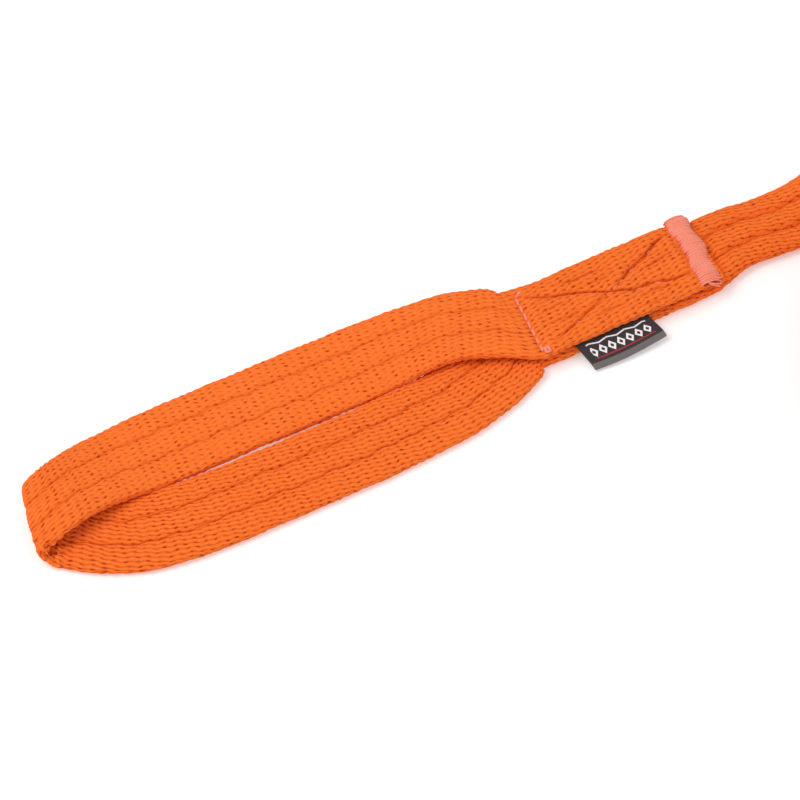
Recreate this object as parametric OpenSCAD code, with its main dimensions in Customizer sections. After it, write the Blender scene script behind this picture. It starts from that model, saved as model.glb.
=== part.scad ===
// Flat hand-loop line of three-rib tubular webbing with a swivel bolt snap at its far end.
// Millimetres. +X runs from the loop's tip towards the line, +Z is up, and the part rests on z = 0.
// The origin is at the bottom centre of the sewn hand loop, without the free line.

/* [Webbing] */
// Width of the webbing where it lies free
web_w = 25; // [23:0.5:26]
// Thickness of the webbing where it lies free
web_t = 7; // [6:0.5:8]
// Width of the webbing where it is pressed flat
flat_w = 30.5; // [28:0.5:31]
// Thickness of the webbing where it is pressed flat
flat_t = 5; // [4:0.25:5.2]

/* [Sewn overlap] */
// Where the sewn overlap starts, along X
overlap_start = 60; // [58:1:61]
// Where the sewn overlap ends, along X
overlap_end = 130; // [128:1:132]
// Length of one stitch
stitch_len = 2.6; // [2:0.1:3]
// Width of the satin bar tack along the strap
tack_w = 7.6; // [6:0.2:9]
// Length of the side label along the strap
label_len = 28; // [22:1:30]

/* [Coiled line] */
// Radius of the outermost turn, at the middle of the webbing
coil_r = 114; // [112:1:118]
// Distance from one turn to the next
coil_pitch = 9; // [8.6:0.1:9.6]
// Radius of the bend that brings the line's end into the coil's middle
tail_r = 55; // [52:1:58]

/* [Swivel bolt snap] */
// Radius of the swivel eye's wire
eye_wire_r = 1.9; // [1.6:0.1:2]
// Radius of the swivel stem
stem_r = 2.2; // [1.8:0.1:2.4]
// Radius of the round opening inside the hook
bight_r = 8; // [7.8:0.1:8.2]
// Radius of the bolt
bolt_r = 2.5; // [2.2:0.1:2.6]
// How far the bolt draws back
bolt_travel = 11; // [9:0.5:11.5]

/* [Hidden] */
$fn = 64;
FACETS = 32;

ORANGE = [0.95, 0.38, 0.08];
THREAD = [0.93, 0.52, 0.42];
CHROME = [0.75, 0.76, 0.78];

// Heights of the two pressed layers, with a hair of room between them
layer_gap = 0.25;
low_z = flat_t / 2;
high_z = flat_t * 1.5 + layer_gap;
overlap_y = 1.8;
overlap_lean = 1;
overlap_top = high_z + flat_t / 2;

// Turns a piece of the sewn overlap to the overlap's own direction, which leans a little from the loop's
module leaning() {
    translate([overlap_start, overlap_y, 0])
        rotate([0, 0, overlap_lean])
            translate([-overlap_start, -overlap_y, 0]) children();
}

// Hand loop: stations along the middle of the webbing, from the overlap's top layer round the tip and back
// under it. Each row is x, y, z, aim, bank, width, thickness: aim turns the width direction from +Y towards +X,
// and bank lifts its far side. At the tip the soft webbing folds over aslant and fans out.
w = flat_w;
t = flat_t;
LOOP = [
    [overlap_start, overlap_y, high_z, -overlap_lean, 0, w, t],
    [55.5, 4.9, 8.2, 10, -1, w, t],
    [50, 8.4, 8.3, 17, -2, w, t],
    [38, 13.4, 7.3, 19, -5, w + 0.5, t],
    [26, 15.6, 5.7, 12, -5, w + 1, t],
    [12, 16.7, 3.6, 3, -2, w + 1.5, t],
    [-10, 17, low_z, 0, 0, w + 1.5, t],
    [-40, 17, low_z, 0, 0, w + 1.5, t],
    [-70, 16.2, 3, 0, -1, w + 1.5, t],
    [-88, 14.8, 4.8, -4, -5, w + 1, t],
    [-100, 12.5, 7.6, -4, -7, w, t],
    [-110, 9.4, 9.6, 3, -8, w, t],
    [-117.2, 7, 9.8, 10, -4, w, t],
    [-123, 5.6, 6.7, 14, -1, w - 1, t],
    [-119.2, 3.4, 3.4, 24, 0, w - 1, t],
    [-113.4, -0.8, low_z + 0.1, 36, 0, w, t],
    [-106, -6.8, low_z + 0.1, 29, 0, w, t],
    [-97, -11.7, low_z, 17, 0, w, t],
    [-85, -14.7, low_z, 9, 0, w, t],
    [-68, -15.8, low_z, 2, 0, w, t],
    [-40, -15.8, low_z, 0, 0, w, t],
    [-10, -15.2, low_z, -1, 0, w, t],
    [8, -14.1, low_z, -4, 0, w, t],
    [24, -12.6, low_z, -14, 0, w, t],
    [38, -8.9, low_z, -25, 0, w, t],
    [50, -3.6, low_z, -24, 0, w, t],
    [56, -0.2, low_z, -13, 0, w, t],
    [overlap_start, overlap_y, low_z, -overlap_lean, 0, w, t],
];
LOOP_STEPS = 3;
TIP_FIRST = 10;
TIP_LAST = 16;

// Free line from the sewn overlap to the coil, in the same form. It lies flat at first, then turns on edge.
line_y = 5;
on_edge_z = web_w / 2;
coil_x = 245;
RUN = [
    [overlap_end, overlap_y + 1.2, 2.6, -overlap_lean, 0, web_w + 5, flat_t],
    [134, 3.8, 3, -3, 0, web_w + 4, web_t - 1.2],
    [139, 4.9, web_t / 2, -4, 0, web_w + 3, web_t],
    [147, 5.5, web_t / 2, -2, 0, web_w + 1.5, web_t],
    [158, 4.6, web_t / 2, 1, 0, web_w + 1, web_t],
    [168, 4, 3.8, 1, 2, web_w + 1, web_t],
    [178, 3.9, 5.8, 0, 11, web_w + 0.5, web_t],
    [189, 4.4, 8.6, 0, 28, web_w, web_t],
    [200, 4.8, 11.2, 0, 48, web_w, web_t],
    [211, line_y, 12.8, 0, 67, web_w, web_t],
    [224, line_y, 13, 0, 84, web_w, web_t],
    [235, line_y, on_edge_z, 0, 90, web_w, web_t],
    [coil_x, line_y, on_edge_z, 0, 90, web_w, web_t],
];
RUN_STEPS = 2;

// Coil: the line winds inwards, clockwise, for this many turns, then the tail bends in to the snap
coil_turns = 2.15;
coil_centre = [coil_x, line_y - coil_r];
coil_inner_r = coil_r - coil_turns * coil_pitch;
coil_clear = 0.1;
tail_angle = 90 - 360 * (coil_turns - 2);
tail_turn = 90 + tail_angle;
tail_centre = coil_centre + (coil_inner_r - tail_r) * [cos(tail_angle), sin(tail_angle)];
tail_z = 2;

// Far end: the webbing runs straight, turns round the eye's bar and is sewn back on itself
end_straight = 30;
end_arc = 36;
end_t = 5;
end_w = 25;
axis_z = 17;
bar_room = 0.1;
path_end = [tail_centre[0] - end_straight, tail_centre[1] - tail_r];
bar_offset = end_t / 2 + eye_wire_r + bar_room;
bar_at = [path_end[0], path_end[1] + bar_offset, axis_z];

// Snap, in its own frame: x from the eye's bar to the hook, z up, origin on the bar
eye_half = 15;
eye_arm = 9;
shoulder_x = 16.1;
collar_x = 16.3;
collar_len = 5;
collar_r = 6;
head_x = 21.5;
head_len = 2;
window_len = 3;
bolt_z = 7.1;
ring_x = 57;
ring_z = -3.5;
ring_wire_r = 2.8;
ring_r = 10.5;
ring_gap = 54;
barrel_r = 5;
barrel_from = 24.3;
barrel_to = 50;
bore_from = 29;
running = 0.05;
bolt_back = 43;
bolt_tip = 62.3;
stud_x = 45;
stud_r = 1.1;
spring_turns = 6;
spring_wire_r = 0.3;
spring_r = 1.9;

// ---- sweeping a strap along stations ----

function unit(v) = v / norm(v);
function between(a, b, c, d, k) =
    0.5 * (2 * b + (c - a) * k + (2 * a - 5 * b + 4 * c - d) * k * k + (3 * b - a - 3 * c + d) * k * k * k);
function clip(i, n) = max(0, min(n - 1, i));
function smooth(rows, steps) = concat(
    [for (i = [0 : len(rows) - 2], k = [0 : steps - 1])
        between(rows[clip(i - 1, len(rows))], rows[i], rows[i + 1], rows[clip(i + 2, len(rows))], k / steps)],
    [rows[len(rows) - 1]]);
function place(row) = [row[0], row[1], row[2]];
function heading(rows, i) = unit(place(rows[clip(i + 1, len(rows))]) - place(rows[clip(i - 1, len(rows))]));

// A flat section with rounded edges, as points across and up
SIDES = 12;
function squared(v) = sign(v) * pow(abs(v), 0.55);
function section(wide, thick) =
    [for (a = [0 : SIDES - 1]) [wide / 2 * squared(cos(a * 360 / SIDES)), thick / 2 * squared(sin(a * 360 / SIDES))]];
function ring(row, along) =
    let (
        wide = cos(row[4]) * [sin(row[3]), cos(row[3]), 0] + [0, 0, sin(row[4])],
        tall = unit(cross(along, wide))
    )
    [for (p = section(row[5], row[6])) place(row) + p[0] * wide + p[1] * tall];

// Skin of a tube whose points come ring by ring, with flat ends
function tube_faces(rings, sides) = concat(
    [[for (k = [0 : sides - 1]) k]],
    [for (i = [0 : rings - 2], k = [0 : sides - 1])
        let (a = i * sides, m = (k + 1) % sides)
        each [[a + k, a + sides + k, a + sides + m], [a + k, a + sides + m, a + m]]],
    [[for (k = [sides - 1 : -1 : 0]) (rings - 1) * sides + k]]);

// A strap along some of the rows, from the first to the last
module strap(rows, first, last) {
    points = [for (i = [first : last]) each ring(rows[i], heading(rows, i))];
    polyhedron(points, tube_faces(last - first + 1, SIDES), convexity = 6);
}

LOOP_ROWS = smooth(LOOP, LOOP_STEPS);
module loop_stretch(first, last) {
    strap(LOOP_ROWS, first * LOOP_STEPS, last * LOOP_STEPS);
}

// ---- webbing of the handle ----

module loop_upper_leg() {
    color(ORANGE) loop_stretch(0, TIP_FIRST);
}

module loop_tip() {
    color(ORANGE) loop_stretch(TIP_FIRST, TIP_LAST);
}

module loop_lower_leg() {
    color(ORANGE) loop_stretch(TIP_LAST, len(LOOP) - 1);
}

// One straight pressed layer: a flat slab with rounded edges
module layer(z_mid) {
    translate([overlap_start, overlap_y, z_mid])
        rotate([90, 0, 90])
            linear_extrude(overlap_end - overlap_start) {
                square([flat_w - flat_t, flat_t], center = true);
                for (side = [-1, 1])
                    translate([side * (flat_w - flat_t) / 2, 0]) circle(d = flat_t);
            }
}

module overlap_top_layer() {
    color(ORANGE) leaning() layer(high_z);
}

module overlap_bottom_layer() {
    color(ORANGE) leaning() layer(low_z);
}

// ---- sewing ----

thread_r = 0.4;
// A stitch: a bar of thread on the surface with a leg at each end going down into the webbing
module stitch(length, depth) {
    translate([-length / 2, 0, 0]) rotate([0, 90, 0]) cylinder(r = thread_r, h = length, $fn = 16);
    for (side = [-1, 1])
        translate([side * (length / 2 - thread_r), 0, -depth]) cylinder(r = thread_r, h = depth, $fn = 16);
}

stitch_depth = overlap_top - 1;
stitch_room = 0.7;
row_x = overlap_start + 2;
row_from = -11.4;
row_count = 8;
module root_stitches() {
    color(THREAD)
        leaning()
            for (i = [0 : row_count - 1])
                translate([row_x, row_from + (i + 0.5) * (stitch_len + stitch_room), overlap_top])
                    rotate([0, 0, 90]) stitch(stitch_len, stitch_depth);
}

cross_from = row_x + 4;
cross_to = 119;
cross_half = 11.5;
cross_count = 14;
module cross_stitches() {
    long = cross_to - cross_from;
    lean = atan2(2 * cross_half, long);
    color(THREAD)
        leaning()
            for (side = [-1, 1], i = [0 : cross_count - 1]) {
                share = (i + 0.5) / cross_count - 0.5;
                if (side > 0 || abs(share) > 0.06)
                    translate([(cross_from + cross_to) / 2 + share * long,
                        overlap_y + side * share * 2 * cross_half, overlap_top])
                        rotate([0, 0, side * lean]) stitch(stitch_len, stitch_depth);
            }
}

tack_high = 1.2;
tack_x = overlap_end - tack_w / 2 - 0.4;
tack_lean = -3;
// A satin band laid over a strap: flat underneath, rounded along both edges
module satin_band(length, wide, high) {
    translate([0, -length / 2, 0])
        rotate([-90, 0, 0])
            linear_extrude(length) {
                translate([-wide / 2 + high, -high]) square([wide - 2 * high, high]);
                for (side = [-1, 1])
                    intersection() {
                        translate([side * (wide / 2 - high), 0]) circle(r = high);
                        translate([-wide / 2, -high]) square([wide, high]);
                    }
            }
}

module handle_bar_tack() {
    color(THREAD)
        leaning()
            translate([tack_x, overlap_y, overlap_top])
                rotate([0, 0, tack_lean]) satin_band(flat_w - 0.6, tack_w, tack_high);
}

// Side label: a strip folded double, its ends caught between the two layers, lying down to the surface
label_x = 72.6;
label_t = 0.35;
label_out_y = -22.5;
module side_label() {
    inner_y = overlap_y - flat_w / 2 + 5;
    edge_y = overlap_y - flat_w / 2 - 1;
    seam_z = flat_t + layer_gap / 2;
    color([0.06, 0.06, 0.07])
        leaning()
            translate([label_x, 0, 0])
                rotate([90, 0, 90])
                    linear_extrude(label_len)
                        polygon([
                            [inner_y, seam_z - label_t],
                            [inner_y, seam_z + label_t],
                            [edge_y, seam_z + label_t],
                            [label_out_y + 0.6, 2 * label_t + 0.9],
                            [label_out_y, 1],
                            [label_out_y, 0.5],
                            [label_out_y + 0.6, 0.3],
                            [edge_y, seam_z - label_t]
                        ]);
}

// ---- free line, coil and far end ----

module line_run() {
    rows = smooth(RUN, RUN_STEPS);
    color(ORANGE) strap(rows, 0, len(rows) - 1);
}

module line_coil() {
    inside = coil_inner_r - web_t / 2 - coil_clear;
    outside = coil_r + web_t / 2 + coil_clear;
    color(ORANGE)
        translate([coil_centre[0], coil_centre[1], 0])
            rotate_extrude($fn = 96) translate([inside, 0]) square([outside - inside, web_w]);
}

// A stretch of the bend round tail_centre, standing on edge
module bend(mid_r, thick, from, turn, base, tall) {
    translate([tail_centre[0], tail_centre[1], base])
        rotate([0, 0, from - turn])
            rotate_extrude(angle = turn, $fn = 96) translate([mid_r - thick / 2, 0]) square([thick, tall]);
}

module line_tail() {
    color(ORANGE) bend(tail_r, web_t, tail_angle, tail_turn - end_arc, tail_z, web_w);
}

end_base = axis_z - end_w / 2;
near_r = tail_r - end_t - layer_gap;
module snap_end_webbing() {
    y_outer = path_end[1];
    y_inner = tail_centre[1] - near_r;
    y_return = bar_at[1] + eye_wire_r + bar_room + end_t / 2;
    half = end_t / 2;
    color(ORANGE) {
        bend(tail_r, end_t, end_arc - 90, end_arc, end_base, end_w);
        bend(near_r, end_t, end_arc - 90, end_arc, end_base, end_w);
        translate([path_end[0], y_outer - half, end_base]) cube([end_straight, end_t, end_w]);
        translate([0, 0, end_base])
            linear_extrude(end_w)
                polygon([
                    [path_end[0], y_return - half],
                    [path_end[0] + 3, y_return - half],
                    [path_end[0] + 14, y_inner - half],
                    [path_end[0] + end_straight, y_inner - half],
                    [path_end[0] + end_straight, y_inner + half],
                    [path_end[0] + 14, y_inner + half],
                    [path_end[0] + 3, y_return + half],
                    [path_end[0], y_return + half]
                ]);
        translate([bar_at[0], bar_at[1], end_base])
            rotate([0, 0, 90])
                rotate_extrude(angle = 180)
                    translate([eye_wire_r + bar_room, 0]) square([end_t, end_w]);
    }
}

end_face_y = path_end[1] - end_t / 2;
end_stitch_x = path_end[0] + 16;
end_stitch_count = 6;
module snap_end_stitches() {
    color(THREAD)
        for (i = [0 : end_stitch_count - 1])
            translate([end_stitch_x, end_face_y,
                axis_z + (i + 0.5 - end_stitch_count / 2) * (stitch_len + stitch_room)])
                rotate([90, 90, 0]) stitch(stitch_len, 2 * end_t);
}

end_tack_turn = 31.5;
module snap_end_bar_tack() {
    color(THREAD)
        translate([tail_centre[0], tail_centre[1], axis_z])
            rotate([0, 0, end_tack_turn])
                translate([0, -(near_r - end_t / 2), 0])
                    rotate([-90, 0, 0]) satin_band(end_w - 3, tack_w, tack_high);
}

// ---- swivel bolt snap ----

// Puts a piece drawn in the snap's own frame where the line ends, its hook pointing along -X
module at_line_end() {
    translate(bar_at) rotate([0, 0, 180]) children();
}

module rod(a, b, r) {
    v = b - a;
    translate(a)
        rotate([0, acos(v[2] / norm(v)), atan2(v[1], v[0])]) cylinder(r = r, h = norm(v), $fn = FACETS);
}

module knob(p, r) {
    translate(p) sphere(r = r, $fn = FACETS);
}

module x_cylinder(from, to, z, r) {
    translate([from, 0, z]) rotate([0, 90, 0]) cylinder(r = r, h = to - from);
}

module swivel_eye() {
    color(CHROME)
        at_line_end() {
            rod([0, 0, -eye_half], [0, 0, eye_half], eye_wire_r);
            for (side = [-1, 1]) {
                knob([0, 0, side * eye_half], eye_wire_r);
                rod([0, 0, side * eye_half], [eye_arm, 0, side * eye_half], eye_wire_r);
                knob([eye_arm, 0, side * eye_half], eye_wire_r);
                rod([eye_arm, 0, side * eye_half], [eye_arm + 4, 0, side * 2], eye_wire_r);
            }
            x_cylinder(11.5, shoulder_x, 0, 4);
            x_cylinder(shoulder_x - 1, head_x + 1, 0, stem_r);
            x_cylinder(head_x, head_x + head_len, 0, stem_r + 1.2);
        }
}

module snap_body() {
    color(CHROME)
        at_line_end()
            difference() {
                union() {
                    x_cylinder(collar_x, collar_x + collar_len + window_len + 3, 0, collar_r);
                    x_cylinder(barrel_from, barrel_to, bolt_z, barrel_r);
                    x_cylinder(barrel_from, ring_x - ring_r, ring_z / 2, 3.8);
                    translate([ring_x, 0, ring_z])
                        rotate([90, 0, 0])
                            rotate([0, 0, 180 - ring_gap])
                                rotate_extrude(angle = 180 + 2 * ring_gap)
                                    translate([ring_r, 0]) circle(r = ring_wire_r, $fn = FACETS);
                    x_cylinder(bolt_tip + 0.2, bolt_tip + 3.6, bolt_z, bolt_r + 0.6);
                }
                x_cylinder(collar_x - 1, collar_x + collar_len + 1, 0, stem_r + running);
                translate([collar_x + collar_len, -10, -collar_r + 2])
                    cube([window_len, 20, 2 * collar_r - 4]);
                x_cylinder(bore_from, ring_x + 3, bolt_z, bolt_r + running);
                translate([stud_x - bolt_travel - stud_r - 0.4, -stud_r - 0.3, bolt_z])
                    cube([bolt_travel + 2 * stud_r + 0.8, 2 * stud_r + 0.6, 2 * barrel_r]);
                translate([ring_x, 10, ring_z]) rotate([90, 0, 0]) cylinder(r = bight_r, h = 20);
            }
}

module bolt() {
    color(CHROME)
        at_line_end()
            difference() {
                union() {
                    x_cylinder(bolt_back, bolt_tip - 0.8, bolt_z, bolt_r);
                    x_cylinder(bolt_tip - 1, bolt_tip, bolt_z, bolt_r - 0.8);
                }
                translate([stud_x, 0, bolt_z]) cylinder(r = stud_r, h = 2 * bolt_r);
            }
}

module thumb_stud() {
    color(CHROME)
        at_line_end()
            translate([stud_x, 0, bolt_z]) {
                cylinder(r = stud_r, h = barrel_r + 1);
                translate([0, 0, barrel_r + 0.4]) cylinder(r = 2.9, h = 1.6);
                translate([0, 0, barrel_r + 2]) cylinder(r = 2.2, h = 0.9);
            }
}

SPRING_SIDES = 6;
SPRING_PER_TURN = 12;
module bolt_spring() {
    long = bolt_back - bore_from - 2 * spring_wire_r - 0.2;
    n = spring_turns * SPRING_PER_TURN;
    points = [for (i = [0 : n], k = [0 : SPRING_SIDES - 1])
        let (
            a = i * 360 / SPRING_PER_TURN,
            b = k * 360 / SPRING_SIDES,
            reach = spring_r + spring_wire_r * cos(b)
        )
        [i * long / n + spring_wire_r * sin(b), reach * cos(a), reach * sin(a)]];
    color([0.6, 0.6, 0.62])
        at_line_end()
            translate([bore_from + spring_wire_r + 0.1, 0, bolt_z])
                polyhedron(points, tube_faces(n + 1, SPRING_SIDES), convexity = 10);
}

loop_upper_leg();
loop_tip();
loop_lower_leg();
overlap_top_layer();
overlap_bottom_layer();
root_stitches();
cross_stitches();
handle_bar_tack();
side_label();
line_run();
line_coil();
line_tail();
snap_end_webbing();
snap_end_stitches();
snap_end_bar_tack();
swivel_eye();
snap_body();
bolt();
thumb_stud();
bolt_spring();
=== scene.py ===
"""A flat hand-loop line of ribbed tubular knit with a swivel bolt snap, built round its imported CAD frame.

The camera, the lights and the floor are in metres, and every other length in millimetres until a mesh is made.
The strap's stations, the label and the sewing repeat the CAD's numbers, a few of them moved about a millimetre
to follow the photo.
"""

import math
from collections import namedtuple

import bpy
import numpy as np
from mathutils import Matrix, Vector


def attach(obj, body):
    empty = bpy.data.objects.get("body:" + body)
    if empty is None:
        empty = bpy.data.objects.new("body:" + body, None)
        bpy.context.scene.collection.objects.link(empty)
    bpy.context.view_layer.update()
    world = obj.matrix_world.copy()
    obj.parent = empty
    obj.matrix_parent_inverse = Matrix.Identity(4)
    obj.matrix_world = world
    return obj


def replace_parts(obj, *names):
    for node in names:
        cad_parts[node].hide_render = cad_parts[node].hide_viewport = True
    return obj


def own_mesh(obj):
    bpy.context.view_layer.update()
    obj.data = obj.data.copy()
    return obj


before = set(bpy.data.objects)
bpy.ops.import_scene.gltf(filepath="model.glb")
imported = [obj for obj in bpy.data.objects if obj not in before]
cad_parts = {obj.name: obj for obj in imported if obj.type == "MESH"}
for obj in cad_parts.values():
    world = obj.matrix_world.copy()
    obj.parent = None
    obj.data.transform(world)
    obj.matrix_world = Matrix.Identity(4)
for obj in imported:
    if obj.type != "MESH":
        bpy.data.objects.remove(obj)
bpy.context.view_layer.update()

MM = 0.001


# ---------- camera and light ----------

AZIMUTH = math.radians(332.3)
ELEVATION = math.radians(52)
AIM = Vector((0.011, -0.00135, 0))
LENS = 250
SENSOR = 36
VIEW_WIDTH = 0.272
CLIP_END = 100
WORLD_STRENGTH = 0.66
# Each area light's name, place, aim, size and power
LIGHTS = [
    ("key", (-0.9, 0.2, 1.6), (0.05, 0, 0), 1.0, 16.5),
    ("fill", (1.2, -1.5, 1.5), (0.1, 0, 0), 1.6, 6),
]
FLOOR_REACH = 8
FLOOR_GLOW = 0.3


def add_object(name, data):
    made = bpy.data.objects.new(name, data)
    bpy.context.scene.collection.objects.link(made)
    return made


def make_camera():
    data = bpy.data.cameras.new("camera")
    data.lens = LENS
    data.sensor_width = SENSOR
    data.clip_end = CLIP_END
    camera = add_object("camera", data)
    back = Vector((
        math.sin(AZIMUTH) * math.cos(ELEVATION),
        -math.cos(AZIMUTH) * math.cos(ELEVATION),
        math.sin(ELEVATION),
    ))
    camera.location = AIM + back * (VIEW_WIDTH * LENS / SENSOR)
    camera.rotation_euler = (-back).to_track_quat("-Z", "Y").to_euler()
    bpy.context.scene.camera = camera


def make_light(name, place, aim, size, power):
    data = bpy.data.lights.new(name, "AREA")
    data.size = size
    data.energy = power
    lamp = add_object(name, data)
    lamp.location = place
    lamp.rotation_euler = (Vector(aim) - Vector(place)).to_track_quat("-Z", "Y").to_euler()


def make_world(strength):
    world = bpy.data.worlds.new("studio")
    world.use_nodes = True
    background = world.node_tree.nodes["Background"]
    background.inputs["Color"].default_value = (1, 1, 1, 1)
    background.inputs["Strength"].default_value = strength
    bpy.context.scene.world = world


make_camera()
make_world(WORLD_STRENGTH)
for light in LIGHTS:
    make_light(*light)
bpy.context.scene.view_settings.view_transform = "Standard"


# ---------- the strap's track ----------

FLAT_W, FLAT_T = 30.5, 5
FREE_W, FREE_T = 25, 7
OVERLAP_START, TOP_END = 60, 131.6
OVERLAP_Y = 1.8
OVERLAP_LEAN = math.tan(math.radians(1))
LOW_Z, HIGH_Z = 2.5, 7.75
SEWN_STATIONS = (70, 85, 100, 115)

COIL_R, COIL_PITCH, COIL_TURNS = 114, 9, 2.15
COIL_X, COIL_Z, LINE_Y = 245, FREE_W / 2, 5
COIL_CENTRE = (COIL_X, LINE_Y - COIL_R)
# The bend in from the coil's inner turn, and the doubled end on the snap's bar
TAIL_R = 55
TAIL_FROM = 90 - 360 * (COIL_TURNS - 2)
TAIL_TURN = TAIL_FROM + 90
TAIL_OFF = COIL_R - COIL_PITCH * COIL_TURNS - TAIL_R
TAIL_CENTRE = (COIL_X + TAIL_OFF * math.cos(math.radians(TAIL_FROM)),
               COIL_CENTRE[1] + TAIL_OFF * math.sin(math.radians(TAIL_FROM)))
END_ARC, END_STRAIGHT = 36, 30
END_T, END_GAP = 5, 0.25
BAR_OFFSET = 4.5
BAR = (TAIL_CENTRE[0] - END_STRAIGHT, TAIL_CENTRE[1] - TAIL_R + BAR_OFFSET, 17)
RETURN_R = TAIL_R - END_T - END_GAP
RETURN_ROWS = [
    (250, BAR[1] + BAR_OFFSET), (255.5, -133.3), (261, -135.2),
    (266, TAIL_CENTRE[1] - RETURN_R), (TAIL_CENTRE[0], TAIL_CENTRE[1] - RETURN_R),
]
# The shares of that bend over which the line rises to the bar, and gets thinner
TAIL_RISE, TAIL_THIN = (0, 0.8), (0.62, 0.76)
# Points for each full turn of the coil, and for each of the other stretches
COIL_STEPS, TAIL_STEPS, STRAIGHT_STEPS, TURN_STEPS, RETURN_STEPS = 72, 42, 8, 12, 9

# The hand loop, all FLAT_T thick. Each row is x, y, z, aim, bank and width, as in the CAD: aim turns the
# width's direction from +Y towards +X, and bank lifts its far side.
LOOP = [
    (60, 2.5, HIGH_Z, -1, 0, 32),
    (55.5, 4.9, 8.2, 10, -1, FLAT_W),
    (50, 8.4, 8.3, 17, -2, FLAT_W),
    (38, 13.4, 7.3, 19, -5, 31),
    (26, 15.6, 5.7, 12, -5, 31.5),
    (12, 16.7, 3.6, 3, -2, 32),
    (-10, 17.1, LOW_Z, 0, 0, 32),
    (-40, 17, LOW_Z, 0, 0, 32),
    (-70, 16.2, 3, 0, -1, 32),
    (-88, 14.8, 4.8, -4, -5, 31.5),
    (-100, 12.5, 7.6, -4, -7, FLAT_W),
    (-110, 9.4, 9.6, 3, -8, FLAT_W),
    (-117.2, 7, 9.8, 10, -4, FLAT_W),
    (-122.6, 5.6, 6.7, 14, -1, 29.5),
    (-119.2, 3.4, 3.4, 24, 0, 29.5),
    (-113.4, -0.8, 2.6, 36, 0, FLAT_W),
    (-106, -6.8, 2.6, 29, 0, FLAT_W),
    (-97, -11.7, LOW_Z, 17, 0, FLAT_W),
    (-85, -14.5, LOW_Z, 9, 0, 31),
    (-68, -15.7, LOW_Z, 2, 0, 30.7),
    (-40, -15.7, LOW_Z, 0, 0, 30.7),
    (-10, -15.2, LOW_Z, -1, 0, FLAT_W),
    (8, -14.1, LOW_Z, -4, 0, FLAT_W),
    (24, -12.6, LOW_Z, -14, 0, FLAT_W),
    (38, -8.9, LOW_Z, -25, 0, FLAT_W),
    (50, -3.6, LOW_Z, -24, 0, FLAT_W),
    (56, -0.2, LOW_Z, -13, 0, FLAT_W),
    (60, 1.8, LOW_Z, -1, 0, FLAT_W),
]
TIP_FIRST, TIP_LAST = 10, 16
# The line up to its coil, in the same form
RUN_PLACES = [
    (130, 3, 2.6, -1, 0, 30),
    (134, 3.8, 3, -3, 0, 29),
    (139, 4.9, FREE_T / 2, -4, 0, 28),
    (147, 5.5, FREE_T / 2, -2, 0, 26.5),
    (158, 4.6, FREE_T / 2, 1, 0, 26),
    (168, 4, 3.8, 1, 2, 26),
    (178, 3.9, 5.8, 0, 11, 25.5),
    (189, 4.4, 8.6, 0, 28, FREE_W),
    (200, 4.8, 11.2, 0, 48, FREE_W),
    (211, LINE_Y, 12.8, 0, 67, FREE_W),
    (224, LINE_Y, 13, 0, 84, FREE_W),
    (235, LINE_Y, COIL_Z, 0, 90, FREE_W),
    (COIL_X, LINE_Y, COIL_Z, 0, 90, FREE_W),
]
RUN = [row + (thick,) for row, thick in zip(RUN_PLACES, [FLAT_T, 5.8] + [FREE_T] * 11)]


def catmull_rom(rows, steps):
    """The rows with steps - 1 more between each two, on a smooth curve through them all."""
    rows = np.array(rows, float)
    padded = np.vstack([rows[:1], rows, rows[-1:]])
    out = []
    for i in range(len(rows) - 1):
        a, b, c, d = padded[i:i + 4]
        for k in np.arange(steps) / steps:
            out.append(0.5 * (2 * b + (c - a) * k + (2 * a - 5 * b + 4 * c - d) * k * k
                              + (3 * b - a - 3 * c + d) * k ** 3))
    out.append(rows[-1])
    return np.array(out)


def unit(v):
    return v / np.maximum(np.linalg.norm(v, axis=-1, keepdims=True), 1e-12)


def ease(x, low, high):
    k = np.clip((x - low) / (high - low), 0, 1)
    return k * k * (3 - 2 * k)


def on_edge(places):
    """Rows for places where the strap stands on edge."""
    return [(x, y, z, 0, 90, w, t) for x, y, z, w, t in places]


def overlap_y(x):
    """The middle of the two sewn layers, which lean a little from the loop's own direction."""
    return OVERLAP_Y + OVERLAP_LEAN * (x - OVERLAP_START)


HANDLE_STEPS = 60


def handle_rows():
    """From the top layer's sewn end round the tip and back to the bottom layer's end."""
    aim = -math.degrees(math.atan(OVERLAP_LEAN))
    top = [(x, overlap_y(x), HIGH_Z, aim, 0, FLAT_W, FLAT_T) for x in (TOP_END,) + SEWN_STATIONS[::-1]]
    loop = [row + (FLAT_T,) for row in LOOP]
    bottom = [(x, overlap_y(x), LOW_Z, aim, 0, FLAT_W, FLAT_T) for x in SEWN_STATIONS]
    return catmull_rom(top + loop + bottom + RUN[:1], HANDLE_STEPS)


def on_arc(centre, radius, degrees):
    """x and y of a place on a level circle."""
    angle = math.radians(degrees)
    return centre[0] + radius * math.cos(angle), centre[1] + radius * math.sin(angle)


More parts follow.
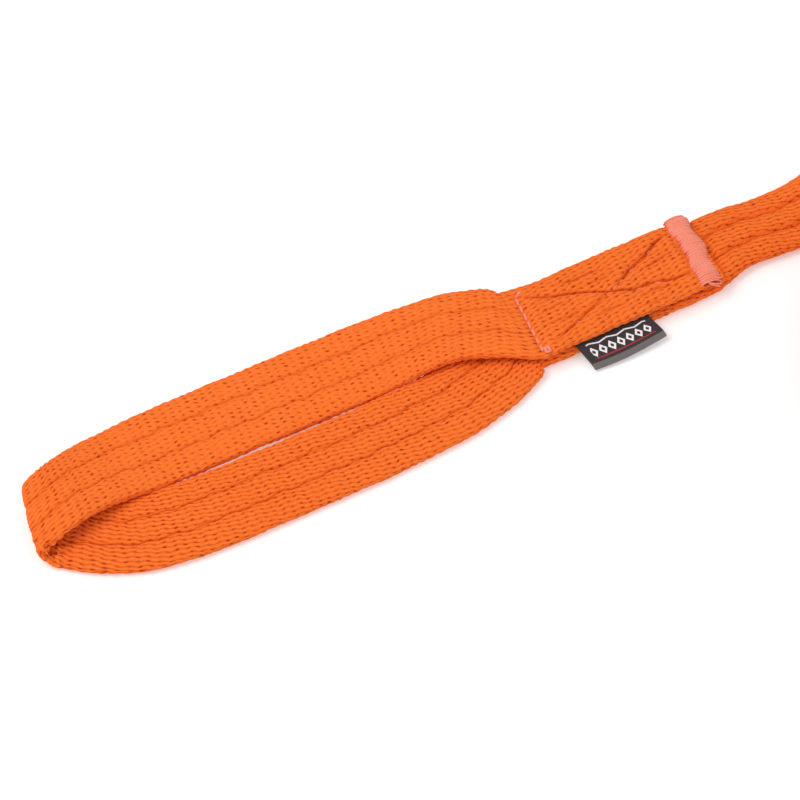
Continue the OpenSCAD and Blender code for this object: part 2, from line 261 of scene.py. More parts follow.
def coil_places():
    """The coil's turns, and the bend in to the snap, along the middle of the webbing."""
    places = []
    for turns in np.arange(1, COIL_TURNS * COIL_STEPS + 0.5) / COIL_STEPS:
        x, y = on_arc(COIL_CENTRE, COIL_R - COIL_PITCH * turns, 90 - 360 * turns)
        places.append((x, y, COIL_Z, FREE_W, FREE_T))
    for share in np.arange(1, TAIL_STEPS + 1) / TAIL_STEPS:
        x, y = on_arc(TAIL_CENTRE, TAIL_R, TAIL_FROM - TAIL_TURN * share)
        z = COIL_Z + (BAR[2] - COIL_Z) * ease(share, *TAIL_RISE)
        thick = FREE_T + (END_T - FREE_T) * ease(share, *TAIL_THIN)
        places.append((x, y, z, FREE_W, thick))
    for share in np.arange(1, STRAIGHT_STEPS + 1) / STRAIGHT_STEPS:
        x = TAIL_CENTRE[0] - END_STRAIGHT * share
        places.append((x, TAIL_CENTRE[1] - TAIL_R, BAR[2], FREE_W, END_T))
    return places


def turn_places():
    """Round the eye's bar and back along the inside of the bend."""
    turn = [on_arc(BAR, BAR_OFFSET, -90 - 180 * k / TURN_STEPS) for k in range(TURN_STEPS + 1)]
    shares = np.arange(1, RETURN_STEPS + 1) / RETURN_STEPS
    bend = [on_arc(TAIL_CENTRE, RETURN_R, -90 + END_ARC * share) for share in shares]
    return [(x, y, BAR[2], FREE_W, END_T) for x, y in turn + RETURN_ROWS + bend]


def lengths_along(rows):
    steps = np.linalg.norm(np.diff(rows[:, :3], axis=0), axis=1)
    return np.concatenate([[0], np.cumsum(steps)])


def at_lengths(rows, lengths):
    """The rows of a dense track, read off at these lengths along it."""
    along = lengths_along(rows)
    return np.stack([np.interp(lengths, along, rows[:, i]) for i in range(rows.shape[1])], axis=1)


def smooth_rows(rows, passes):
    """Softens the corners that straight lines between rows leave in the width's direction."""
    for _ in range(passes):
        rows[1:-1, 3:] = (rows[:-2, 3:] + 2 * rows[1:-1, 3:] + rows[2:, 3:]) / 4
    return rows


def even_lengths(stretches):
    """Lengths along a track, from (start, end, step) stretches that follow each other."""
    out = []
    for start, end, step in stretches:
        count = max(1, round((end - start) / step))
        out.extend(np.linspace(start, end, count + 1)[:-1])
    out.append(stretches[-1][1])
    return np.array(out)


# ---------- the knit ----------
# The knit's pattern is worked out from two lengths: along the strap, and around it from the middle of
# either face. The mesh and the material use the same rules, so their holes and grooves meet.

ROUND = 66.0
WALE, COURSE, SLANT = 1.8, 3.15, 0.19
# Two waves by which the lines of holes sway: how far, then how fast along the strap and around it
SWAYS = [(0.3, 0.47, 0.21), (0.2, 1.31, -0.4)]
# From each line to the next the holes step on by a share of a course, and jog to and fro
STEP_ON = 0.06
JOG, JOG_RATE, JOG_START = 0.1, 2.4, 0.9
# What turns a stitch's two numbers into its chance number, and that into a second one
CHANCE_RATES, CHANCE_SCALE, SECOND_SCALE = (12.9898, 78.233), 437.5453, 7.31
# How far chance moves a hole along and across its line, and how it leans where there are no ropes
HOLE_ALONG, HOLE_ACROSS, HOLE_SLANT = 0.5, 0.36, 0.5
# Where the ribs' grooves run, how far they step to either side, and how fast they wander
GROOVE_AT, GROOVE_STEP, GROOVE_RATE = 5.1, 0.3, 0.31

# Depths and widths in the mesh. Where there are two, the second is what a full rope, chance or tube adds.
VALLEY_DEEP, VALLEY_WIDE, VALLEY_RIPPLE = (0.03, 0.3), 0.4, 0.35
HOLE_DEEP, HOLE_WIDE, HOLE_LONG = (0.05, 0.2), 0.34, 0.74
GROOVE_DEEP, GROOVE_WIDE = (0.45, 0.6), (0.42, 0.4)
HOLLOW_DEEP, HOLLOW_WIDE = (0.28, 0.5), 1.7
# The edges are scalloped course by course, in a swell that comes and goes
EDGE_WIDE = 2.2
SWELL, SWELL_WAVE, SWELL_RATE = 0.13, 0.07, 0.23
SCALLOP_START, SCALLOP_RATE = 3, 0.4
PUFF = 0.14


def hump(distance, width):
    """1 where the distance is 0, falling away smoothly at this width."""
    return np.exp(-(distance / width) ** 2)


def cell_chance(m, n):
    """A number from 0 to 1 for each stitch, the same every time."""
    value = np.sin(m * CHANCE_RATES[0] + n * CHANCE_RATES[1]) * CHANCE_SCALE
    return value - np.floor(value)


def knit_cells(along, around):
    """The distance from the nearest line of holes, from the nearest hole across and along that line, and the
    hole's chance number."""
    sway = sum(far * np.sin(on * along + across * around) for far, on, across in SWAYS)
    line = (around + SLANT * along + sway) / WALE
    m = np.round(line)
    course = along / COURSE + STEP_ON * m + JOG * np.sin(JOG_RATE * m + JOG_START)
    n = np.round(course)
    chance = cell_chance(m, n)
    from_hole = (course - n) * COURSE + HOLE_ALONG * (chance - 0.5)
    second = chance * SECOND_SCALE % 1
    from_line = (line - m) * WALE
    return from_line, from_line + HOLE_ACROSS * (second - 0.5), from_hole, chance


def groove_place(along, side):
    """Where a rib's groove runs: it steps from wale to wale, so it wanders either side of its line."""
    step = 2 * np.pi * (side * GROOVE_AT + SLANT * along) / WALE
    return GROOVE_AT + GROOVE_STEP * (np.sin(step) + np.sin(GROOVE_RATE * along + 2 * side))


def edge_scallop(along, around, side):
    """The small bumps of the courses along the strap's two edges."""
    swell = SWELL + SWELL_WAVE * np.sin(SWELL_RATE * along + side)
    phase = 2 * np.pi * along / COURSE + SCALLOP_START * side + np.sin(SCALLOP_RATE * along)
    return swell * hump(np.abs(around) - ROUND / 4, EDGE_WIDE) * (1 - np.cos(phase))


def strap_relief(along, around, rope, rib, ribbed):
    """How far the knit's surface lies below the strap's smooth one."""
    from_line, off_line, from_hole, chance = knit_cells(along, around)
    off_line = off_line - HOLE_SLANT * (1 - rope) * from_hole
    valley = (VALLEY_DEEP[0] + VALLEY_DEEP[1] * rope) * hump(from_line, VALLEY_WIDE)
    valley *= 1 + VALLEY_RIPPLE * np.cos(2 * np.pi * from_hole / COURSE)
    hole = (HOLE_DEEP[0] + HOLE_DEEP[1] * chance) * hump(off_line, HOLE_WIDE) * hump(from_hole, HOLE_LONG)
    side = np.sign(around)
    near = np.abs(around) - groove_place(along, side)
    groove = GROOVE_DEEP[0] * rib + GROOVE_DEEP[1] * ribbed
    groove = groove * hump(near, GROOVE_WIDE[0] + GROOVE_WIDE[1] * ribbed)
    hollow = (HOLLOW_DEEP[0] * rib + HOLLOW_DEEP[1] * ribbed) * hump(near, HOLLOW_WIDE)
    puff = PUFF * np.sin(along / 7.3 + 0.21 * around) * np.sin(along / 4.1 - 0.17 * around)
    return valley + hole + groove + hollow + edge_scallop(along, around, side) + puff


SECTION_STEPS = 2881


def section_shape(power, wide, thick, fractions):
    """The strap's section as points across and up, in half widths and half thicknesses, read off at these
    fractions of the way round. A smaller power makes squarer edges."""
    turn = np.linspace(0, 2 * np.pi, SECTION_STEPS)
    cos, sin = np.cos(turn), np.sin(turn)
    across = np.sign(cos) * np.abs(cos) ** power
    up = np.sign(sin) * np.abs(sin) ** power
    way = lengths_along(np.stack([across * wide / 2, up * thick / 2], axis=1))
    at = np.asarray(fractions) * way[-1]
    return np.stack([np.interp(at, way, across), np.interp(at, way, up)], axis=1)


FLAT_POWER, FREE_POWER = 0.55, 0.75
# A grid's crease is how strongly shade is painted into the creases at each point.
Grid = namedtuple("Grid", "points along around rope rib crease")


def grid_normals(points):
    """Outward normals of a grid that closes on itself round each ring."""
    ahead = np.gradient(points, axis=0)
    way = np.roll(points, -1, axis=1) - np.roll(points, 1, axis=1)
    return unit(np.cross(way, ahead))


def strap_grid(rows, lengths, columns, ribbed, rope, rib, shift=0):
    """A strap ring by ring. ribbed goes from 0, pressed flat, to 1, three round tubes. rope says how far the
    wales stand out as ropes, and rib how far the two grooves show."""
    fractions = np.arange(columns) / columns
    around = np.where(fractions <= 0.5, 0.25 - fractions, fractions - 0.75) * ROUND
    flat = section_shape(FLAT_POWER, FLAT_W, FLAT_T, fractions)
    free = section_shape(FREE_POWER, FREE_W, FREE_T, fractions)
    at = at_lengths(rows, lengths)
    place = at[:, :3]
    ahead = unit(np.gradient(place, axis=0))
    aim, bank = np.radians(at[:, 3]), np.radians(at[:, 4])
    wide = np.stack([np.cos(bank) * np.sin(aim), np.cos(bank) * np.cos(aim), np.sin(bank)], axis=1)
    tall = unit(np.cross(ahead, wide))
    ribbed, rope, rib = ((np.zeros(len(lengths)) + value)[:, None] for value in (ribbed, rope, rib))
    shape = flat[None] * (1 - ribbed[..., None]) + free[None] * ribbed[..., None]
    across = shape[:, :, 0] * at[:, 5:6] / 2
    up = shape[:, :, 1] * at[:, 6:7] / 2
    smooth = place[:, None] + across[..., None] * wide[:, None] + up[..., None] * tall[:, None]
    along = np.repeat(np.asarray(lengths)[:, None], columns, axis=1) + shift
    around = np.repeat(around[None], len(lengths), axis=0)
    sink = strap_relief(along, around, rope, rib, ribbed)
    points = smooth - sink[..., None] * grid_normals(smooth)
    rope, rib = np.repeat(rope, columns, axis=1), np.repeat(rib, columns, axis=1)
    return Grid(points, along, around, rope, rib, np.zeros_like(along))


def new_object(name, points, faces, smooth, uv_name, uv, material, body):
    """A piece from points and UVs in millimetres. smooth has a value for each face."""
    mesh = bpy.data.meshes.new(name)
    mesh.from_pydata((np.array(points) * MM).tolist(), [], faces)
    mesh.polygons.foreach_set("use_smooth", smooth)
    layer = mesh.uv_layers.new(name=uv_name)
    layer.data.foreach_set("uv", (np.array(uv) * MM).reshape(-1))
    mesh.materials.append(material)
    made = add_object(name, mesh)
    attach(made, body)
    return made


def strap_object(name, grid, first, last, material):
    """A closed tube from ring first to ring last of a grid, with its knit coordinates as UVs."""
    normals = grid_normals(grid.points)[first:last + 1]
    points, along, around, rope, rib, crease = (part[first:last + 1] for part in grid)
    rings, sides = points.shape[:2]
    corner = np.arange(rings * sides).reshape(rings, sides)
    a, b = corner[:-1], corner[1:]
    quads = np.stack([a, np.roll(a, -1, 1), np.roll(b, -1, 1), b], axis=-1).reshape(-1, 4)
    caps = [corner[0][::-1], corner[-1]]
    index = np.concatenate([quads.reshape(-1)] + caps)
    uv = np.stack([along.reshape(-1), around.reshape(-1)], axis=1)[index]
    made = new_object(name, points.reshape(-1, 3), quads.tolist() + [cap.tolist() for cap in caps],
                      [True] * len(quads) + [False, False], "strap", uv, material, "root")
    # rope and rib also steer how much shade the material paints into valleys and grooves, and crease how much
    # into creases.
    for mark, values in (("rope", rope), ("rib", rib), ("crease", crease)):
        made.data.attributes.new(mark, "FLOAT", "POINT").data.foreach_set("value", values.reshape(-1))
    given = normals.reshape(-1, 3)[index]
    given[quads.size:] = 0
    made.data.normals_split_custom_set(given.tolist())
    return made


# ---------- materials ----------


class Nodes:
    """Short names for building a material's nodes."""

    def __init__(self, name):
        self.material = bpy.data.materials.new(name)
        self.material.use_nodes = True
        self.tree = self.material.node_tree
        self.shader = self.tree.nodes["Principled BSDF"]

    def add(self, kind, **settings):
        node = self.tree.nodes.new(kind)
        for key, value in settings.items():
            setattr(node, key, value)
        return node

    def put(self, socket, value):
        if isinstance(value, bpy.types.NodeSocket):
            self.tree.links.new(value, socket)
        else:
            socket.default_value = value

    def fill(self, node, **values):
        """Sets or links a node's inputs by name. An underscore stands for a space."""
        for key, value in values.items():
            self.put(node.inputs[key.replace("_", " ")], value)

    def math(self, operation, a, b=0.0, c=0.0):
        node = self.add("ShaderNodeMath", operation=operation)
        for socket, value in zip(node.inputs, (a, b, c)):
            self.put(socket, value)
        return node.outputs[0]

    def times(self, a, b):
        return self.math("MULTIPLY", a, b)

    def times_add(self, a, b, c):
        return self.math("MULTIPLY_ADD", a, b, c)

    def minus(self, a, b):
        return self.math("SUBTRACT", a, b)

    def hump(self, distance, width):
        """1 where the distance is 0, falling away smoothly at this width."""
        scaled = self.math("POWER", self.math("ABSOLUTE", self.math("DIVIDE", distance, width)), 2)
        return self.math("EXPONENT", self.math("MULTIPLY", scaled, -1))

    def mix(self, share, a, b):
        node = self.add("ShaderNodeMix", data_type="RGBA")
        self.fill(node, Factor=share, A=a, B=b)
        return node.outputs["Result"]

    def ramp(self, value, low, high, out_low=0.0, out_high=1.0):
        node = self.add("ShaderNodeMapRange", interpolation_type="SMOOTHSTEP")
        for socket, given in zip(node.inputs, (value, low, high, out_low, out_high)):
            self.put(socket, given)
        return node.outputs["Result"]

    def noise(self, vector, scale, detail=2.0, rough=0.5):
        node = self.add("ShaderNodeTexNoise")
        self.fill(node, Vector=vector, Scale=scale, Detail=detail, Roughness=rough)
        return node.outputs["Fac"]

    def vector(self, x, y, z=0.0):
        node = self.add("ShaderNodeCombineXYZ")
        for socket, value in zip(node.inputs, (x, y, z)):
            self.put(socket, value)
        return node.outputs[0]

    def place(self):
        return self.add("ShaderNodeTexCoord").outputs["Object"]

    def uv_mm(self, name):
        """The two coordinates of a UV layer, in millimetres."""
        node = self.add("ShaderNodeUVMap", uv_map=name)
        split = self.add("ShaderNodeSeparateXYZ")
        self.put(split.inputs[0], node.outputs["UV"])
        return self.math("MULTIPLY", split.outputs["X"], 1000), self.math("MULTIPLY", split.outputs["Y"], 1000)

    def attribute(self, name):
        return self.add("ShaderNodeAttribute", attribute_name=name).outputs["Fac"]

    def bump(self, height, strength, distance):
        node = self.add("ShaderNodeBump")
        self.fill(node, Strength=strength, Distance=distance, Height=height)
        self.set(Normal=node.outputs["Normal"])

    def set(self, **values):
        self.fill(self.shader, **values)


def colour(red, green, blue):
    """A linear colour from an sRGB one, 0 to 255."""
    def linear(c):
        c = c / 255
        return c / 12.92 if c <= 0.04045 else ((c + 0.055) / 1.055) ** 2.4
    return (linear(red), linear(green), linear(blue), 1)


def knit_nodes(n, along, around, rope):
    """What knit_cells works out, as nodes: the nearest line of holes, the distance from it, the place in
    courses, and how deep in a hole each place is, for the holes' bump and the shade painted into them."""
    sway = 0.0
    for far, on, across in SWAYS[::-1]:
        phase = n.times_add(along, on, n.times(around, across))
        sway = n.times_add(n.math("SINE", phase), far, sway)
    line = n.math("DIVIDE", n.math("ADD", n.times_add(along, SLANT, around), sway), WALE)
    m = n.math("ROUND", line)
    from_line = n.times(n.minus(line, m), WALE)
    jog = n.times(n.math("SINE", n.times_add(m, JOG_RATE, JOG_START)), JOG)
    course = n.math("ADD", n.times_add(m, STEP_ON, n.math("DIVIDE", along, COURSE)), jog)
    k = n.math("ROUND", course)
    seed = n.times_add(m, CHANCE_RATES[0], n.times(k, CHANCE_RATES[1]))
    chance = n.math("FRACT", n.times(n.math("SINE", seed), CHANCE_SCALE))
    moved = n.times_add(chance, HOLE_ALONG, -HOLE_ALONG / 2)
    from_hole = n.times_add(n.minus(course, k), COURSE, moved)
    second = n.math("FRACT", n.times(chance, SECOND_SCALE))
    off_line = n.math("ADD", from_line, n.times_add(second, HOLE_ACROSS, -HOLE_ACROSS / 2))
    lean = n.times_add(rope, HOLE_SLANT, -HOLE_SLANT)
    off_line = n.times_add(lean, from_hole, off_line)
    hole = n.times(n.hump(off_line, 0.27), n.hump(from_hole, 0.66))
    faint = n.ramp(n.noise(n.place(), 160, 1.0), 0.35, 0.6, 0.55, 1.1)
    strength = n.times(n.times_add(chance, 0.8, 0.38), faint)
    return line, from_line, course, n.math("MINIMUM", n.times(hole, strength), 1)


def groove_nodes(n, along, around, rib):
    """Masks for painted shade: the dark line in a rib's groove, broken here and there, and the shallow hollow
    around it.
    """
    side = n.math("SIGN", around)
    step = n.math("DIVIDE", n.times_add(side, GROOVE_AT, n.times(along, SLANT)), WALE)
    step = n.times(n.math("SINE", n.times(step, 2 * math.pi)), GROOVE_STEP)
    drift = n.math("SINE", n.times_add(along, GROOVE_RATE, n.times(side, 2)))
    groove_at = n.math("ADD", n.times_add(drift, GROOVE_STEP, GROOVE_AT), step)
    from_groove = n.minus(n.math("ABSOLUTE", around), groove_at)
    patch = n.noise(n.vector(n.times(along, 0.16), n.times(side, 9)), 1.0)
    groove = n.times(n.hump(from_groove, 0.27), n.ramp(patch, 0.3, 0.6, 0.35, 0.9))
    return n.times(groove, rib), n.times(n.hump(from_groove, 1.1), rib)


def webbing_material():
    """Orange tubular knit: rows of small holes between the wales, slanted yarn, grooves and a little fuzz,
    with painted shade in the holes, the wales' valleys, the grooves, their hollows and the creases.
    """
    n = Nodes("orange_knit")
    along, around = n.uv_mm("strap")
    rope, rib = n.attribute("rope"), n.attribute("rib")
    line, from_line, course, hole = knit_nodes(n, along, around, rope)
    groove, hollow = groove_nodes(n, along, around, rib)
    # valley marks the wales' valleys, for their bump and the shade painted into them
    valley = n.hump(from_line, 0.24)
    from_line = n.math("ABSOLUTE", from_line)
    chevron = n.times(n.times_add(from_line, -0.55, course), 4 * math.pi)
    chevron = n.math("SINE", chevron)
    slant = n.times_add(from_line, 1.4, n.times(along, 1.9))
    yarn = n.noise(n.vector(slant, n.times(line, 3.0)), 1.0, 3.0, 0.6)
    cloud, speck = n.noise(n.place(), 28), n.noise(n.place(), 1100)

    body = n.mix(cloud, colour(247, 112, 40), colour(250, 121, 48))
    for share, tint in (
        (n.ramp(speck, 0.4, 0.75, 0, 0.35), colour(255, 142, 74)),
        (n.ramp(yarn, 0.5, 0.25, 0, 0.35), colour(228, 90, 20)),
        (n.ramp(chevron, -0.4, -1, 0, 0.24), colour(226, 88, 16)),
        # Painted shade: in the hollows beside the ribs' grooves, the valleys between the wales, the grooves,
        # the holes and the creases
        (n.times(hollow, 0.18), colour(214, 76, 10)),
        (n.times(valley, n.times_add(rope, 0.5, 0.06)), colour(208, 72, 8)),
        (groove, colour(184, 56, 0)),
        (hole, colour(184, 52, 0)),
        (n.ramp(n.attribute("crease"), 0.15, 1.0, 0, 0.75), colour(186, 56, 2)),
    ):
        body = n.mix(share, body, tint)
    height = n.times_add(yarn, 0.5, n.times(valley, n.times(rope, -0.7)))
    height = n.minus(n.times_add(chevron, 0.18, height), hole)
    n.set(Base_Color=body, Roughness=0.85, Specular_IOR_Level=0.06, Sheen_Weight=0.05, Sheen_Roughness=0.45,
          Sheen_Tint=(1, 0.6, 0.45, 1))
    n.bump(height, 0.55, 0.0004)
    return n.material


def thread_material():
    """Salmon polyester thread: two plies twisted together, with a soft shine."""
    n = Nodes("salmon_thread")
    along, around = n.uv_mm("thread")
    ply = n.math("SINE", n.times_add(along, 5.2, n.times(around, 2)))
    fibre = n.noise(n.vector(n.times(along, 2.0), n.times(around, 4.0)), 1.0, 3.0, 0.6)
    cloud = n.noise(n.place(), 260, 2.0)
    body = n.mix(cloud, colour(240, 132, 102), colour(250, 150, 126))
    body = n.mix(n.ramp(ply, 0.1, -0.9, 0, 0.4), body, colour(222, 92, 56))
    body = n.mix(n.ramp(fibre, 0.45, 0.75, 0, 0.4), body, colour(255, 182, 164))
    n.set(Base_Color=body, Roughness=0.5, Specular_IOR_Level=0.35, Sheen_Weight=0.2)
    n.bump(n.times_add(ply, 0.5, fibre), 0.5, 0.00008)
    return n.material


LABEL_W = 28
LABEL_HEM, LABEL_MARGIN = 2.2, 2.2
WARP_PITCH, WEFT_PITCH = 0.32, 0.26
# Distances from the label's fold, and half sizes, of the row of lozenges, the zigzag and the red line
LOZENGE_AT, LOZENGE_W, LOZENGE_H, LOZENGE_PITCH = 6.2, 1.6, 2.2, 1.75
ZIGZAG_AT, ZIGZAG_PITCH, ZIGZAG_RISE = 9, 3.5, 0.22
RED_AT = 3.6


def label_marks(n, across, from_fold):
    """A row of lozenges under a zigzag line, and a thin line below them, all clear of the label's ends."""
    cell = n.math("PINGPONG", n.math("ADD", across, 0.35), LOZENGE_PITCH)
    tall = n.math("ABSOLUTE", n.minus(from_fold, LOZENGE_AT))
    lozenge = n.math("ADD", n.math("DIVIDE", cell, LOZENGE_W), n.math("DIVIDE", tall, LOZENGE_H))
    ring = n.hump(n.minus(lozenge, 0.68), 0.3)
    wave = n.times(n.math("PINGPONG", across, ZIGZAG_PITCH), ZIGZAG_RISE)
    ridge = n.hump(n.minus(n.minus(from_fold, ZIGZAG_AT), wave), 0.3)
    margin = n.times(n.ramp(across, LABEL_MARGIN, LABEL_MARGIN + 0.4),
                     n.ramp(across, LABEL_W - LABEL_MARGIN - 0.4, LABEL_W - LABEL_MARGIN, 1.0, 0.0))
    white = n.times(n.ramp(n.math("MAXIMUM", ring, ridge), 0.35, 0.6), margin)
    red = n.times(n.hump(n.minus(from_fold, RED_AT), 0.2), margin)
    return white, red


def label_material(fold_at):
    """Black woven label: fine ribs, a grey hem by the fold, a thin red line and a row of white lozenges."""
    n = Nodes("woven_label")
    across, down = n.uv_mm("label")
    from_fold = n.minus(fold_at, down)
    white, red = label_marks(n, across, from_fold)
    warp = n.math("SINE", n.times(across, 2 * math.pi / WARP_PITCH))
    weft = n.math("SINE", n.times(down, 2 * math.pi / WEFT_PITCH))
    weave = n.times(warp, weft)
    body = n.mix(n.noise(n.place(), 90, 3.0), colour(38, 31, 36), colour(52, 44, 49))
    body = n.mix(n.ramp(weave, -0.2, 0.9, 0, 0.3), body, colour(78, 68, 74))
    body = n.mix(red, body, colour(196, 40, 44))
    body = n.mix(white, body, colour(246, 244, 243))
    hem = n.ramp(n.math("ABSOLUTE", from_fold), LABEL_HEM - 0.1, LABEL_HEM + 0.1, 1.0, 0.0)
    body = n.mix(hem, body, n.mix(n.ramp(weave, -0.5, 0.8), colour(96, 90, 90), colour(122, 116, 114)))
    n.set(Base_Color=body, Roughness=0.6, Specular_IOR_Level=0.3, Sheen_Weight=0.15)
    n.bump(n.times_add(white, 0.8, weave), 0.5, 0.00006)
    return n.material


def metal_material(name, dark, light, rough):
    """Nickel plate over a casting: soft waves from polishing and fine scratches, its roughness following the
    scratches.
    """
    n = Nodes(name)
    place = n.place()
    broad = n.noise(place, 130, 3.0)
    streak = n.vector(n.times(n.noise(place, 40), 0.2), broad, n.noise(place, 2400))
    scratch = n.noise(streak, 9.0, 4.0)
    body = n.mix(broad, dark, light)
    body = n.mix(n.ramp(scratch, 0.62, 0.72, 0, 0.35), body, colour(240, 240, 238))
    n.set(Base_Color=body, Roughness=n.ramp(scratch, 0.3, 0.7, rough, rough + 0.14), Metallic=1)
    n.bump(n.times_add(scratch, 0.4, broad), 0.25, 0.00015)
    return n.material


def floor_material():
    """Plain pale floor, lit a little from below as a light table is."""
    n = Nodes("pale_floor")
    grain = n.noise(n.place(), 3.0, 3.0)
    n.set(Base_Color=n.mix(grain, (0.75, 0.75, 0.75, 1), (0.77, 0.77, 0.77, 1)), Roughness=0.8,
          Specular_IOR_Level=0.05, Emission_Color=(1, 1, 1, 1), Emission_Strength=FLOOR_GLOW)
    return n.material


def make_floor():
    mesh = bpy.data.meshes.new("floor")
    corners = [(x * FLOOR_REACH, y * FLOOR_REACH, 0) for x, y in ((-1, -1), (1, -1), (1, 1), (-1, 1))]
    mesh.from_pydata(corners, [], [(0, 1, 2, 3)])
    mesh.materials.append(floor_material())
    add_object("floor", mesh)


make_floor()
knit = webbing_material()
thread = thread_material()


# ---------- the free line ----------

RING_FINE, RING_MIDDLE, RING_WIDE, RING_END = 0.42, 0.9, 1.9, 0.6
# The line is ringed finely where the photo shows it, and a little less finely for a short way after.
SEEN_FINE, SEEN_MIDDLE = 40, 80
# The line leaves the bar tack nearly flat, and fills out to its three tubes over a short length.
FLAT_RIBBED, FILL_OUT = 0.25, 13

handle = smooth_rows(handle_rows(), 20)
handle_long = lengths_along(handle)[-1]
line_rows = np.vstack([catmull_rom(RUN, 12), np.array(on_edge(coil_places()), float)])
line_long = lengths_along(line_rows)[-1]
end_rows = catmull_rom(on_edge(turn_places()), 4)
end_long = lengths_along(end_rows)[-1]

line_at = even_lengths([(0, SEEN_FINE, RING_FINE), (SEEN_FINE, SEEN_MIDDLE, RING_MIDDLE),
                        (SEEN_MIDDLE, line_long, RING_WIDE)])
line_ribbed = FLAT_RIBBED + (1 - FLAT_RIBBED) * ease(line_at, 0, FILL_OUT)
line_grid = strap_grid(line_rows, line_at, 96, line_ribbed, 1.0, 0.9, handle_long)
line = strap_object("line_webbing", line_grid, 0, len(line_at) - 1, knit)
end_at = even_lengths([(0, end_long, RING_END)])
end_grid = strap_grid(end_rows, end_at, 120, FLAT_RIBBED, 0.7, 0.7, handle_long + line_long)
line_end = strap_object("line_end_return", end_grid, 0, len(end_at) - 1, knit)
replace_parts(line, "line_run", "line_coil", "line_tail")
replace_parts(line_end, "snap_end_webbing")


# ---------- the handle ----------


def station_length(station):
    """How far along the handle's track this station of LOOP is."""
    want = np.array(LOOP[station][:3])
    nearest = int(np.argmin(np.linalg.norm(handle[:, :3] - want, axis=1)))
    return lengths_along(handle)[nearest]


def segment_distance(x, y, start, end):
    """How far each point is from a straight line of sewing, and how far along it the nearest place is."""
    ax, ay = end[0] - start[0], end[1] - start[1]
    long = math.hypot(ax, ay)
    along = np.clip(((x - start[0]) * ax + (y - start[1]) * ay) / long, 0, long)
    return np.hypot(x - start[0] - along * ax / long, y - start[1] - along * ay / long), along


STITCH_PITCH = 3.3
ROOT_ROW = [(63.4, 13.4), (60.6, -12)]
TACK_X, TACK_LEAN, TACK_HALF, TACK_REACH, TACK_SIDE = 128.1, -5, 4, 32, 1.1
# Depths and widths of what the sewing does to the top layer: furrows, the wide dips around them, and creases
ROOT_DEEP, ROOT_RIPPLE, ROOT_WIDE = 0.95, 0.2, 0.8
ROOT_DIP, ROOT_DIP_WIDE = 0.5, 3
CREASE_DEEP, CREASE_WIDE = 0.9, 0.55
CROSS_DIP, CROSS_DIP_WIDE = 0.5, 2.4
PUCKER = 0.3
TACK_PRESS = 1.3

# The two crossing rows of sewing wander a little. Each place is x, y and how deep the row has sunk there.
CROSS_ROWS = [
    [(66, -10, 0.5), (74, -7.2, 0.9), (83, -3.4, 0.9), (90, -0.8, 0.6), (96, 1.4, 0.8), (100.5, 3.8, 1.1),
     (104, 6, 1.5), (112, 9.2, 1.5), (118, 12.6, 1.3), (122, 14, 0.7)],
    [(66, 11.6, 0.7), (75, 7.8, 1.0), (83, 5.6, 1.1), (88, 3.2, 0.9), (93, 1, 1.1), (101, -2.4, 1.2),
     (107, -2.4, 1.3), (111, -3.5, 1.1), (116, -4.8, 1.2), (122, -5, 0.8)],
]
# Small wrinkles between them, in the same form
WRINKLES = [
    [(77, 11.4, 0.3), (84, 10.4, 0.9), (92, 10.8, 0.7), (99, 9.8, 0.3)],
    [(101, -6.6, 0.3), (108, -5.9, 0.8), (117, -8, 0.4)],
    [(84, -7.8, 0.3), (90, -6.2, 0.8), (97, -6.6, 0.3)],
    [(106, 3.4, 0.3), (112, 4, 0.8), (120, 6.4, 0.5)],
    [(68, 2.4, 0.3), (74, 3.6, 0.7), (81, 2.2, 0.3)],
    [(70, -2.2, 0.3), (76, -3, 0.7), (82, -0.6, 0.3)],
    [(86, 6.6, 0.3), (93, 6.4, 0.6), (98, 7.2, 0.3)],
    [(98, -9.8, 0.3), (105, -10.6, 0.7), (113, -10.2, 0.3)],
]


def under_tack(x):
    """1 from the bar tack to the layer's end, and 0 before it."""
    return ease(x, TACK_X - TACK_HALF - 2.2, TACK_X - TACK_HALF + 0.6)


def crease_at(x, y, route, width):
    """How deep a crease along this route is at each point."""
    deep = 0
    for start, end in zip(route, route[1:]):
        off, along = segment_distance(x, y, start[:2], end[:2])
        share = along / math.dist(start[:2], end[:2])
        here = start[2] + (end[2] - start[2]) * share
        deep = np.maximum(deep, here * hump(off, width))
    return deep


def sharp_creases(x, y):
    return np.max([crease_at(x, y, route, CREASE_WIDE) for route in CROSS_ROWS + WRINKLES], axis=0)


def sewn_dip(x, y):
    """How far the sewing pulls down the top layer, and the small wrinkles that it gathers."""
    off, along = segment_distance(x, y, *ROOT_ROW)
    dip = (ROOT_DEEP + ROOT_RIPPLE * np.cos(2 * np.pi * along / STITCH_PITCH)) * hump(off, ROOT_WIDE)
    dip += ROOT_DIP * hump(off, ROOT_DIP_WIDE) + CREASE_DEEP * sharp_creases(x, y)
    dip += CROSS_DIP * np.max([crease_at(x, y, route, CROSS_DIP_WIDE) for route in CROSS_ROWS], axis=0)
    pucker = np.sin(x / 2.9 + y / 4) * np.sin(y / 2.3 - x / 5)
    dip += PUCKER * pucker * ease(x, OVERLAP_START, OVERLAP_START + 8)
    inside = 1 - np.clip(np.abs(y - overlap_y(x)) / (FLAT_W / 2), 0, 1) ** 6
    return dip * inside + TACK_PRESS * under_tack(x)


CRUMPLE_AT = (-124, -6.5, 5)
CRUMPLE_REACH = 6.5
# Two crossing sets of folds at the tip: how strong each is, and how fast it goes along x, y and z
CRUMPLE_FOLDS = [(1, (0.7, 1.7, -1.2)), (0.7, (1.2, -0.9, 2.1))]
# How far the tip sinks, how deep its folds go, and how strong the shade painted into their creases is
CRUMPLE_SINK, CRUMPLE_FOLD, CRUMPLE_DARK = 0.5, 0.55, 0.9


